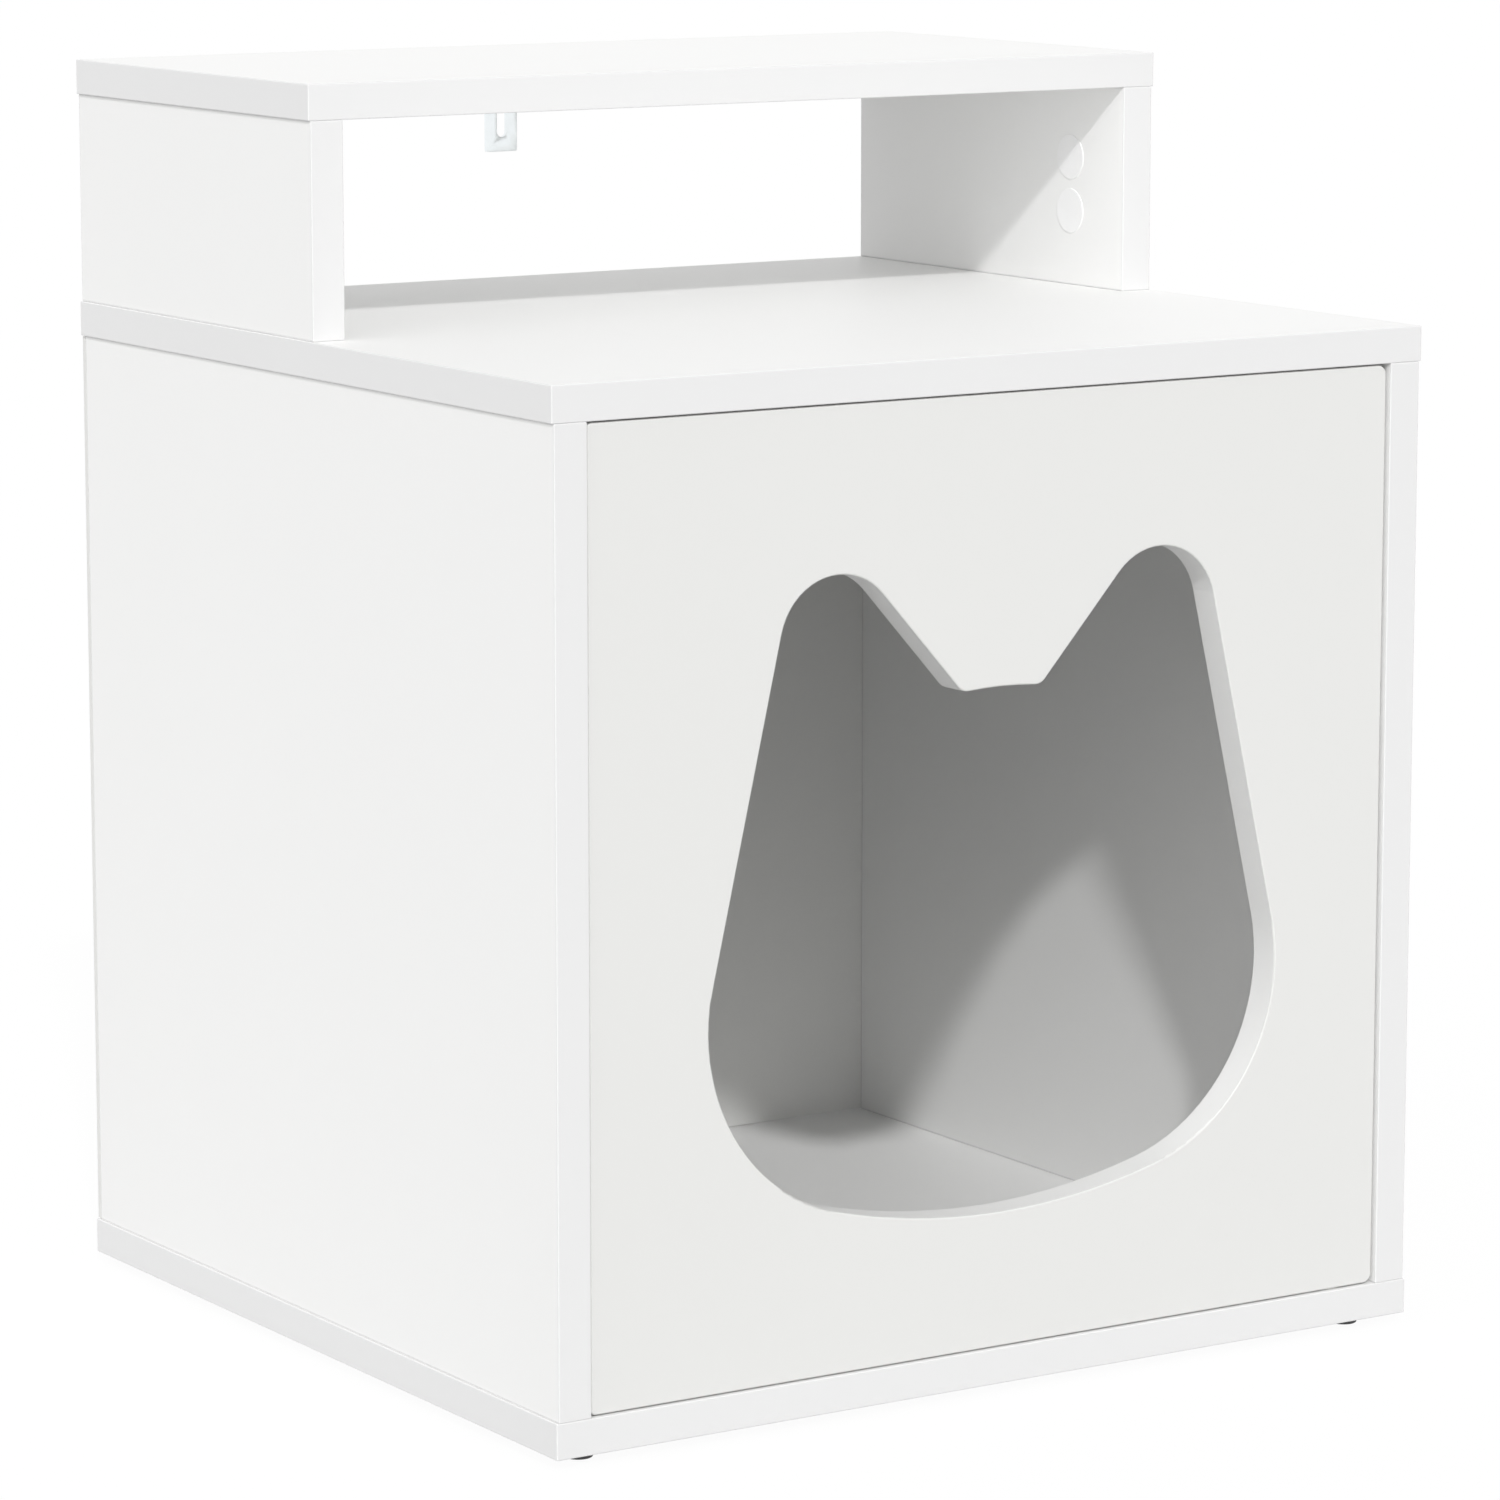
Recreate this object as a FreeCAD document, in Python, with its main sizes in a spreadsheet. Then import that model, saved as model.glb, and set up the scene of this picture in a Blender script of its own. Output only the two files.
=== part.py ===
import FreeCAD, Part
import math
import os
import re
import Sketcher

# Cat house: a white flat-pack cabinet on four small feet. Its inset door has a cat-head
# entrance and turns on two pivot pins. An open shelf on two uprights stands on the rear of
# the top board. Millimetres, X to the right, Y to the back, Z up, and the origin on the
# floor under the middle of the boards.

doc = FreeCAD.newDocument("CatHouse")
sheet = doc.addObject("Spreadsheet::Sheet", "Sizes")

DRIVING = {
    # Boards and panels
    "width": 425,
    "depth": 400,
    "board": 15,
    "body_height": 426,
    "bay_height": 90,
    "shelf_depth": 209,
    "overhang": 1,
    "edge_radius": 0.5,
    "back_thickness": 2.5,
    "back_play": 0.5,
    # Door and its cat-head entrance
    "door_gap": 0.7,
    "hinge_gap": 1.5,
    "door_recess": 1.2,
    "hinge_corner": 4,
    "latch_corner": 2,
    "door_edge_radius": 0.8,
    "hole_rise": 56.8,
    "ear_margin": 67.8,
    "ear_rise": 51.5,
    "ear_spread": 158,
    "ear_radius": 28,
    "ear_angle": 48,
    "cheek_angle": 13,
    "jaw_radius": 83,
    "chin_radius": 305,
    "notch_radius": 6,
    "crown_radius": 190,
    # Door pivots
    "pivot_inset": 20,
    "pin_radius": 3,
    "pin_in_door": 25,
    "pin_reach": 7,
    "pin_clearance": 0.05,
    "bushing_radius": 5,
    "bushing_depth": 10,
    "flange_radius": 6,
    "running_clearance": 0.3,
    # Feet
    "foot_radius": 6,
    "foot_height": 5,
    "foot_chamfer": 0.8,
    "foot_from_side": 20,
    "foot_from_front": 17,
    "nail_radius": 1,
    "nail_in_board": 10,
    "nail_head_radius": 2.2,
    "nail_head_height": 1,
    "nail_head_recess": 2,
    # Cam fittings and dowels
    "fitting_setback": 40,
    "dowel_pitch": 32,
    "cam_setback": 33,
    "cam_radius": 7.5,
    "cam_depth": 12,
    "cam_cover_radius": 10,
    "cam_cover_thickness": 0.6,
    "bolt_radius": 3,
    "bolt_thread_radius": 2.5,
    "bolt_thread_length": 10,
    "bolt_hole_clearance": 0.4,
    "dowel_radius": 4,
    "dowel_in_face": 8,
    "dowel_in_edge": 20,
    "dowel_from_rear": 25,
    "dowel_end_gap": 0.5,
    "fit_clearance": 0.05,
    # Wood screws: shank radius and length
    "base_screw_radius": 2,
    "base_screw_length": 50,
    "back_screw_radius": 1.4,
    "back_screw_length": 16,
    "bracket_screw_radius": 1.75,
    "bracket_screw_length": 12,
    "catch_screw_radius": 1.5,
    "catch_screw_length": 12,
    "strike_screw_radius": 1.2,
    "strike_screw_length": 10,
    # Wall bracket under the rear edge of the upper shelf
    "bracket_width": 16,
    "bracket_drop": 33,
    "bracket_reach": 32,
    "bracket_thickness": 2,
    "bracket_corner": 1,
    "slot_width": 5,
    "slot_length": 16,
    "slot_end": 6.5,
    "bracket_screw_pitch": 14,
    # Magnetic door catch under the top board
    "catch_inset": 45,
    "catch_length": 46,
    "catch_body_length": 22,
    "catch_depth": 14,
    "catch_height": 14,
    "catch_ear_height": 2.5,
    "catch_screw_pitch": 34,
    "magnet_length": 16,
    "magnet_height": 5,
    "magnet_depth": 10,
    "magnet_recess": 0.8,
    "pole_thickness": 1.5,
    "pole_overhang": 0.8,
    "catch_wall": 2,
    "strike_length": 38,
    "strike_height": 10,
    "strike_thickness": 1.2,
}

# Planes and places that follow from the driving sizes
DERIVED = {
    "front": "-depth / 2",
    "rear": "depth / 2",
    "panel_face": "width / 2 - overhang",
    "panel_inner": "panel_face - board",
    "panel_middle": "panel_face - board / 2",
    "panel_rear": "rear - back_thickness",
    "bay_front": "rear - shelf_depth",
    "cabin_floor": "foot_height + board",
    "body_top": "foot_height + body_height",
    "cabin_top": "body_top - board",
    "bay_top": "body_top + bay_height",
    "door_left": "door_gap - panel_inner",
    "door_right": "panel_inner - hinge_gap",
    "door_bottom": "cabin_floor + door_gap",
    "door_top": "cabin_top - door_gap",
    "door_front": "front + door_recess",
    "door_back": "door_front + board",
    "hinge_x": "door_right - pivot_inset",
    "hinge_y": "door_front + board / 2",
    "chin": "door_bottom + hole_rise",
    "ear_tip": "door_top - ear_margin",
    "crown": "ear_tip - ear_rise",
    "catch_x": "door_left + catch_inset",
    "pole_front": "door_back + strike_thickness + running_clearance",
    "catch_front": "pole_front + pole_overhang",
    "catch_bottom": "cabin_top - catch_height",
    "magnet_bottom": "catch_bottom + catch_wall + pole_thickness",
    "magnet_middle": "magnet_bottom + magnet_height / 2",
    "bracket_front": "rear - bracket_reach",
    "bracket_end": "bay_top - bracket_drop",
    "slot_bottom": "bracket_end + slot_end",
}

ROTATIONS = {
    "+x": FreeCAD.Rotation(FreeCAD.Vector(0, 1, 0), 90),
    "-x": FreeCAD.Rotation(FreeCAD.Vector(0, 1, 0), -90),
    "+y": FreeCAD.Rotation(FreeCAD.Vector(1, 0, 0), -90),
    "-y": FreeCAD.Rotation(FreeCAD.Vector(1, 0, 0), 90),
    "+z": FreeCAD.Rotation(),
    "-z": FreeCAD.Rotation(FreeCAD.Vector(1, 0, 0), 180),
}
REVERSED = {"+x": "-x", "-x": "+x", "+y": "-y", "-y": "+y", "+z": "-z", "-z": "+z"}
SIDES = {"left": -1, "right": 1}
OUTWARD = {"left": "-x", "right": "+x"}

nodes = []


def fill_sheet():
    cells = [(alias, str(number)) for alias, number in DRIVING.items()]
    cells += [(alias, "=" + text) for alias, text in DERIVED.items()]
    for row, (alias, content) in enumerate(cells, start=1):
        sheet.set(f"A{row}", alias)
        sheet.set(f"B{row}", content)
        sheet.setAlias(f"B{row}", alias)
    doc.recompute()


def value(alias):
    return float(getattr(sheet, alias))


def formula(text):
    """An expression in which each word is a cell of the sheet."""
    return re.sub(r"[a-z_]+", lambda word: "Sizes." + word.group(), str(text))


def shift(place, direction, distance):
    """The place moved by a distance along a direction such as "+z"."""
    moved = list(place)
    axis = "xyz".index(direction[1])
    moved[axis] = f"{place[axis]} {direction[0]} ({distance})"
    return tuple(moved)


def primitive(owner, kind, place, direction="+z", **sizes):
    """A primitive of the document or a body, with its sizes and place bound to the sheet."""
    make = doc.addObject if owner is doc else owner.newObject
    item = make(kind, kind.split("::")[1])
    item.Placement = FreeCAD.Placement(FreeCAD.Vector(), ROTATIONS[direction])
    for axis, text in zip("xyz", place):
        item.setExpression("Placement.Base." + axis, formula(text))
    for name, text in sizes.items():
        item.setExpression(name, formula(text))
    return item


def block(owner, kind, x_span, y_span, z_span):
    """A box between two planes on each axis."""
    lengths = {
        name: f"({high}) - ({low})"
        for name, (low, high) in zip(("Length", "Width", "Height"), (x_span, y_span, z_span))
    }
    return primitive(owner, kind, (x_span[0], y_span[0], z_span[0]), **lengths)


def rod(place, direction, radius, length):
    return primitive(doc, "Part::Cylinder", place, direction, Radius=radius, Height=length)


def cone(place, direction, start_radius, end_radius, length):
    sizes = {"Radius1": start_radius, "Radius2": end_radius, "Height": length}
    return primitive(doc, "Part::Cone", place, direction, **sizes)


def drill(body, place, direction, radius, depth):
    kind = "PartDesign::SubtractiveCylinder"
    return primitive(body, kind, place, direction, Radius=radius, Height=depth)


def fuse(items):
    union = doc.addObject("Part::MultiFuse", "Fuse")
    union.Shapes = items
    return union


def cut(base, tool):
    result = doc.addObject("Part::Cut", "Cut")
    result.Base = base
    result.Tool = tool
    return result


def finish(item, label):
    item.Label = label
    nodes.append(item)
    return item


def group(label, items):
    """Like pieces that share a node, each of them a solid of its own."""
    bundle = doc.addObject("Part::Compound", label)
    bundle.Links = items
    return finish(bundle, label)


def new_body(label):
    return finish(doc.addObject("PartDesign::Body", label), label)


def round_edges(body, radius, wanted=None):
    """Round the wanted edges of a body as it stands, or all of them."""
    doc.recompute()
    base = body.Tip
    rounding = body.newObject("PartDesign::Fillet", "Rounding")
    chosen = [
        f"Edge{index}"
        for index, edge in enumerate(base.Shape.Edges, start=1)
        if wanted is None or wanted(edge)
    ]
    rounding.Base = (base, chosen)
    rounding.setExpression("Radius", formula(radius))


def board(label, x_span, y_span, z_span):
    """A faced board with eased edges."""
    body = new_body(label)
    block(body, "PartDesign::AdditiveBox", x_span, y_span, z_span)
    round_edges(body, "edge_radius")
    return body


def countersunk_screw(place, direction, name):
    """A wood screw with its flat head at the place and its shank along the direction."""
    radius, length = f"{name}_radius", f"{name}_length"
    tip = shift(place, direction, f"{length} - 2 * {radius}")
    return fuse([
        cone(place, direction, f"2 * {radius}", radius, radius),
        rod(place, direction, radius, f"{length} - 2 * {radius}"),
        cone(tip, direction, radius, f"{radius} / 4", f"2 * {radius}"),
    ])


def countersink(body, place, direction, name):
    """The clearance hole of a countersunk screw, in one of the bodies that it passes."""
    radius = f"{name}_radius"
    sizes = {
        "Radius1": f"2 * {radius} + fit_clearance",
        "Radius2": f"{radius} + fit_clearance",
        "Height": radius,
    }
    primitive(body, "PartDesign::SubtractiveCone", place, direction, **sizes)
    screw_hole(body, place, direction, name)


def pan_head_screw(place, direction, name):
    """A wood screw whose domed head stands on the surface at the place."""
    radius, length = f"{name}_radius", f"{name}_length"
    tip = shift(place, direction, f"{length} - 2 * {radius}")
    return fuse([
        cone(place, REVERSED[direction], f"2 * {radius}", f"1.4 * {radius}", f"1.2 * {radius}"),
        rod(place, direction, radius, f"{length} - 2 * {radius}"),
        cone(tip, direction, radius, f"{radius} / 4", f"2 * {radius}"),
    ])


def screw_hole(body, place, direction, name):
    radius = f"{name}_radius + fit_clearance"
    drill(body, place, direction, radius, f"{name}_length + fit_clearance")


def cam_fitting(panel, plate, side, y, joint_z, into_plate):
    """A cam in the panel's inner face, its bolt in the plate and its cover."""
    sign = SIDES[side]
    into_panel = REVERSED[into_plate]
    joint = (f"{sign} * panel_middle", y, joint_z)
    face = shift((f"{sign} * panel_inner", y, joint_z), into_panel, "cam_setback")
    middle = shift(joint, into_panel, "cam_setback")

    drill(plate, joint, into_plate, "bolt_thread_radius + fit_clearance",
          "bolt_thread_length + fit_clearance")
    drill(panel, joint, into_panel, "bolt_radius + bolt_hole_clearance", "cam_setback")
    drill(panel, face, OUTWARD[side], "cam_radius + fit_clearance", "cam_depth")

    channel_start = shift(middle, into_panel, "bolt_radius")
    channel = rod(channel_start, into_plate, "bolt_radius + bolt_hole_clearance", "cam_setback")
    cam = cut(rod(face, OUTWARD[side], "cam_radius", "cam_depth"), channel)
    bolt = fuse([
        rod(joint, into_plate, "bolt_thread_radius", "bolt_thread_length"),
        rod(joint, into_panel, "bolt_radius", "cam_setback"),
    ])
    cover = rod(face, REVERSED[OUTWARD[side]], "cam_cover_radius", "cam_cover_thickness")
    return cam, bolt, cover


def dowel(panel, plate, side, y, joint_z, into_plate):
    """A wooden dowel across the joint between a panel's edge and a plate's face."""
    joint = (f"{SIDES[side]} * panel_middle", y, joint_z)
    into_panel = REVERSED[into_plate]
    hole = "dowel_radius + fit_clearance"
    drill(plate, joint, into_plate, hole, "dowel_in_face + dowel_end_gap")
    drill(panel, joint, into_panel, hole, "dowel_in_edge + dowel_end_gap")
    start = shift(joint, into_plate, "dowel_in_face")
    return rod(start, into_panel, "dowel_radius", "dowel_in_face + dowel_in_edge")


def build_boards():
    across = ("-width / 2", "width / 2")
    through = ("front", "rear")
    made = {
        "bottom": board("bottom_board", across, through, ("foot_height", "cabin_floor")),
        "top": board("top_board", across, through, ("cabin_top", "body_top")),
        "shelf": board("upper_shelf", across, ("bay_front", "rear"), ("bay_top", "bay_top + board")),
    }
    for side, sign in SIDES.items():
        faces = ("-panel_face", "-panel_inner") if sign < 0 else ("panel_inner", "panel_face")
        made[side + "_panel"] = board(
            side + "_side_panel", faces, ("front", "panel_rear"), ("cabin_floor", "cabin_top"))
        made[side + "_upright"] = board(
            side + "_upright", faces, ("bay_front", "rear"), ("body_top", "bay_top"))
    back = new_body("back_panel")
    block(back, "PartDesign::AdditiveBox", ("-panel_face", "panel_face"), ("panel_rear", "rear"),
          ("cabin_floor + back_play", "cabin_top - back_play"))
    made["back"] = back
    return made


def build_cabinet_joints(boards):
    """Cams and dowels hold the top board on the side panels, screws and dowels the bottom."""
    rows = {
        "front": ("front + fitting_setback", "front + fitting_setback + dowel_pitch"),
        "rear": ("panel_rear - fitting_setback", "panel_rear - fitting_setback - dowel_pitch"),
    }
    fittings, top_dowels, base_dowels, base_screws = [], [], [], []
    for side, sign in SIDES.items():
        panel = boards[side + "_panel"]
        for fitting_y, dowel_y in rows.values():
            fittings.append(cam_fitting(panel, boards["top"], side, fitting_y, "cabin_top", "+z"))
            top_dowels.append(dowel(panel, boards["top"], side, dowel_y, "cabin_top", "+z"))
            base_dowels.append(dowel(panel, boards["bottom"], side, dowel_y, "cabin_floor", "-z"))
            underside = (f"{sign} * panel_middle", fitting_y, "foot_height")
            countersink(boards["bottom"], underside, "+z", "base_screw")
            screw_hole(panel, underside, "+z", "base_screw")
            base_screws.append(countersunk_screw(underside, "+z", "base_screw"))
    cams, bolts, covers = zip(*fittings)
    group("cabinet_cams", cams)
    group("cabinet_cam_bolts", bolts)
    group("cabinet_cam_covers", covers)
    group("cabinet_dowels", top_dowels)
    group("base_dowels", base_dowels)
    group("base_screws", base_screws)


def build_upright_joints(boards):
    """Each end of an upright has a cam near the front and two dowels behind it."""
    cam_y = "bay_front + fitting_setback"
    dowel_rows = ("(bay_front + rear) / 2", "rear - dowel_from_rear")
    fittings, dowels = [], []
    for side in SIDES:
        upright = boards[side + "_upright"]
        for plate, joint_z, into_plate in (("top", "body_top", "-z"), ("shelf", "bay_top", "+z")):
            end = (side, cam_y, joint_z, into_plate)
            fittings.append(cam_fitting(upright, boards[plate], *end))
            for dowel_y in dowel_rows:
                dowels.append(dowel(upright, boards[plate], side, dowel_y, joint_z, into_plate))
    cams, bolts, covers = zip(*fittings)
    group("upright_cams", cams)
    group("upright_cam_bolts", bolts)
    group("upright_cam_covers", covers)
    group("upright_dowels", dowels)


def build_back_screws(boards):
    screws = []
    heights = ("cabin_floor + fitting_setback", "(cabin_floor + cabin_top) / 2",
               "cabin_top - fitting_setback")
    for side, sign in SIDES.items():
        for height in heights:
            place = (f"{sign} * panel_middle", "rear", height)
            countersink(boards["back"], place, "-y", "back_screw")
            countersink(boards[side + "_panel"], place, "-y", "back_screw")
            screws.append(countersunk_screw(place, "-y", "back_screw"))
    group("back_panel_screws", screws)


def build_feet(boards):
    feet, nails = [], []
    for sign in SIDES.values():
        x = f"{sign} * (width / 2 - foot_from_side)"
        for y in ("front + foot_from_front", "rear - foot_from_front"):
            floor = (x, y, "0")
            recess = (x, y, "nail_head_recess")
            solid = fuse([
                cone(floor, "+z", "foot_radius - foot_chamfer", "foot_radius", "foot_chamfer"),
                rod((x, y, "foot_chamfer"), "+z", "foot_radius", "foot_height - foot_chamfer"),
            ])
            bore = fuse([
                rod(floor, "+z", "nail_head_radius + fit_clearance", "nail_head_recess"),
                rod(floor, "+z", "nail_radius + fit_clearance", "foot_height"),
            ])
            feet.append(cut(solid, bore))
            drill(boards["bottom"], (x, y, "foot_height"), "+z", "nail_radius + fit_clearance",
                  "nail_in_board + fit_clearance")
            nails.append(fuse([
                rod(recess, "-z", "nail_head_radius", "nail_head_height"),
                rod(recess, "+z", "nail_radius", "foot_height - nail_head_recess + nail_in_board"),
            ]))
    group("feet", feet)
    group("foot_nails", nails)


def arc(centre, radius, start, end):
    """A counter-clockwise arc in a sketch, between two angles in radians."""
    circle = Part.Circle(FreeCAD.Vector(*centre, 0), FreeCAD.Vector(0, 0, 1), radius)
    return Part.ArcOfCircle(circle, start, end)


def tangent_centre(start, direction, pole, distance, towards):
    """The point along a line, from its start, that lies at a distance from a pole."""
    offset = start - pole
    along = offset.dot(direction)
    root = math.sqrt(along * along - offset.dot(offset) + distance * distance)
    return start + direction * (towards * root - along)


def cat_head_outline():
    """The entrance's lines and arcs, from the chin up the right side, then the left."""
    names = ("ear_radius", "jaw_radius", "chin_radius", "notch_radius", "crown_radius", "chin")
    ear_r, jaw_r, chin_r, notch_r, crown_r, chin = (value(name) for name in names)
    cheek = math.radians(value("cheek_angle"))
    brow = math.radians(value("ear_angle"))
    chin_centre = FreeCAD.Vector(0, chin + chin_r)
    crown_centre = FreeCAD.Vector(0, value("crown") - crown_r)
    ear = FreeCAD.Vector(value("ear_spread") / 2, value("ear_tip") - ear_r)

    def unit(angle):
        return FreeCAD.Vector(math.cos(angle), math.sin(angle))

    quarter = math.pi / 2
    outer, inner = unit(cheek), unit(quarter + brow)
    jaw = tangent_centre(
        ear + outer * (ear_r - jaw_r), unit(cheek + quarter), chin_centre, chin_r - jaw_r, -1)
    notch = tangent_centre(
        ear + inner * (ear_r + notch_r), unit(brow), crown_centre, crown_r + notch_r, 1)
    chin_end = math.atan2(jaw.y - chin_centre.y, jaw.x)
    crown_end = math.atan2(notch.y - crown_centre.y, notch.x)

    def line(start, end, sign):
        points = [FreeCAD.Vector(sign * point.x, point.y, 0) for point in (start, end)]
        return Part.LineSegment(*points)

    def mirrored_arc(centre, radius, start, end, sign):
        if sign < 0:
            start, end = math.pi - end, math.pi - start
        return arc((sign * centre.x, centre.y), radius, start, end)

    outline = [
        arc((0, chin_centre.y), chin_r, -math.pi - chin_end, chin_end),
        arc((0, crown_centre.y), crown_r, crown_end, math.pi - crown_end),
    ]
    for sign in (1, -1):
        outline += [
            mirrored_arc(jaw, jaw_r, chin_end, cheek, sign),
            line(jaw + outer * jaw_r, ear + outer * ear_r, sign),
            mirrored_arc(ear, ear_r, cheek, quarter + brow, sign),
            line(ear + inner * ear_r, notch - inner * notch_r, sign),
            mirrored_arc(notch, notch_r, crown_end - math.pi, brow - quarter, sign),
        ]
    return outline


def constrain_cat_head(sketch):
    """Tie the outline's tangents, radii, angles and heights to the sheet."""
    chin, crown = 0, 1
    right = dict(zip(("jaw", "cheek", "ear", "brow", "notch"), range(2, 7)))
    left = dict(zip(("jaw", "cheek", "ear", "brow", "notch"), range(7, 12)))
    start, end, centre = 1, 2, 3
    origin, axis = -1, -2
    joints = [
        (chin, end, right["jaw"], start), (right["jaw"], end, right["cheek"], start),
        (right["cheek"], end, right["ear"], start), (right["ear"], end, right["brow"], start),
        (right["brow"], end, right["notch"], end), (right["notch"], start, crown, start),
        (chin, start, left["jaw"], end), (left["jaw"], start, left["cheek"], start),
        (left["cheek"], end, left["ear"], end), (left["ear"], start, left["brow"], start),
        (left["brow"], end, left["notch"], start), (left["notch"], end, crown, end),
    ]
    for joint in joints:
        sketch.addConstraint(Sketcher.Constraint("Tangent", *joint))
    for middle in (chin, crown):
        sketch.addConstraint(Sketcher.Constraint("PointOnObject", middle, centre, axis))
    ears = (left["ear"], centre, right["ear"], centre, axis)
    sketch.addConstraint(Sketcher.Constraint("Symmetric", *ears))

    measures = [
        ("Radius", (chin,), "chin_radius"),
        ("Radius", (crown,), "crown_radius"),
        ("DistanceY", (origin, start, chin, centre), "chin + chin_radius"),
        ("DistanceY", (origin, start, crown, centre), "crown - crown_radius"),
        ("DistanceX", (origin, start, right["ear"], centre), "ear_spread / 2"),
        ("DistanceY", (origin, start, right["ear"], centre), "ear_tip - ear_radius"),
        ("Angle", (right["cheek"],), "90 + cheek_angle"),
        ("Angle", (left["cheek"],), "90 - cheek_angle"),
        ("Angle", (right["brow"],), "ear_angle - 180"),
        ("Angle", (left["brow"],), "0 - ear_angle"),
    ]
    for side in (right, left):
        for name in ("jaw", "ear", "notch"):
            measures.append(("Radius", (side[name],), name + "_radius"))
    for kind, elements, text in measures:
        amount = sheet.evalExpression(formula(text))
        datum = math.radians(amount) if kind == "Angle" else amount
        index = sketch.addConstraint(Sketcher.Constraint(kind, *elements, datum))
        sketch.setExpression(f"Constraints[{index}]", formula(text))


def build_door():
    door = new_body("door_panel")
    block(door, "PartDesign::AdditiveBox", ("door_left", "door_right"),
          ("door_front", "door_back"), ("door_bottom", "door_top"))
    half = value("board") / 2
    for corner, side in (("hinge_corner", 1), ("latch_corner", -1)):
        round_edges(door, corner,
                    lambda edge: edge.BoundBox.YLength > half and side * edge.BoundBox.XMax > 0)

    sketch = door.newObject("Sketcher::SketchObject", "CatHead")
    planes = {plane.Role: plane for plane in door.Origin.OriginFeatures}
    sketch.AttachmentSupport = (planes["XZ_Plane"], [""])
    sketch.MapMode = "FlatFace"
    sketch.setExpression("AttachmentOffset.Base.z", formula("-door_front"))
    sketch.addGeometry(cat_head_outline(), False)
    constrain_cat_head(sketch)
    doc.recompute()

    solid_volume = door.Shape.Volume
    entrance = door.newObject("PartDesign::Pocket", "Entrance")
    entrance.Profile = sketch
    entrance.setExpression("Length", formula("board"))
    doc.recompute()
    if door.Shape.Volume >= solid_volume:
        raise RuntimeError("the entrance cuts nothing")
    round_edges(door, "door_edge_radius", lambda edge: edge.BoundBox.YLength < half)
    return door


def build_pivots(boards, door):
    """Steel pins in the door's upper and lower edges turn in plastic bushings."""
    pins, bushings = [], []
    ends = (
        (boards["bottom"], "cabin_floor", "door_bottom", "-z"),
        (boards["top"], "cabin_top", "door_top", "+z"),
    )
    for plate, face_z, edge_z, outward in ends:
        face = ("hinge_x", "hinge_y", face_z)
        edge = ("hinge_x", "hinge_y", edge_z)
        inward = REVERSED[outward]
        drill(door, edge, inward, "pin_radius + fit_clearance", "pin_in_door")
        drill(plate, face, outward, "bushing_radius + fit_clearance", "bushing_depth")
        pin_start = shift(edge, inward, "pin_in_door")
        pins.append(rod(pin_start, outward, "pin_radius", "pin_in_door + door_gap + pin_reach"))
        sleeve = fuse([
            rod(face, outward, "bushing_radius", "bushing_depth"),
            rod(face, inward, "flange_radius", "door_gap - running_clearance"),
        ])
        bore_start = shift(face, inward, "door_gap")
        bore_depth = "door_gap + pin_reach + running_clearance"
        bore = rod(bore_start, outward, "pin_radius + pin_clearance", bore_depth)
        bushings.append(cut(sleeve, bore))
    group("pivot_pins", pins)
    group("pivot_bushings", bushings)


def build_wall_bracket(boards):
    """An angle bracket under the upper shelf, with an upright slot for a wall screw."""
    bracket = new_body("wall_bracket")
    across = ("-bracket_width / 2", "bracket_width / 2")
    thin = ("rear - bracket_thickness", "rear")
    block(bracket, "PartDesign::AdditiveBox", across, thin, ("bracket_end", "bay_top"))
    doc.recompute()
    end = value("bracket_end")
    half = value("bracket_thickness") / 2
    round_edges(bracket, "bracket_corner",
                lambda edge: edge.BoundBox.YLength > half and edge.BoundBox.ZMax < end + half)
    block(bracket, "PartDesign::AdditiveBox", across, ("bracket_front", "rear"),
          ("bay_top - bracket_thickness", "bay_top"))
    low, high = "slot_bottom + slot_width / 2", "slot_bottom + slot_length - slot_width / 2"
    block(bracket, "PartDesign::SubtractiveBox", ("-slot_width / 2", "slot_width / 2"), thin,
          (low, high))
    for height in (low, high):
        drill(bracket, ("0", "rear", height), "-y", "slot_width / 2", "bracket_thickness")
    screws = []
    for row in (0, 1):
        y = f"bracket_front + bracket_width / 2 + {row} * bracket_screw_pitch"
        place = ("0", y, "bay_top - bracket_thickness")
        screw_hole(bracket, place, "+z", "bracket_screw")
        screw_hole(boards["shelf"], place, "+z", "bracket_screw")
        screws.append(pan_head_screw(place, "+z", "bracket_screw"))
    group("bracket_screws", screws)


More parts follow.
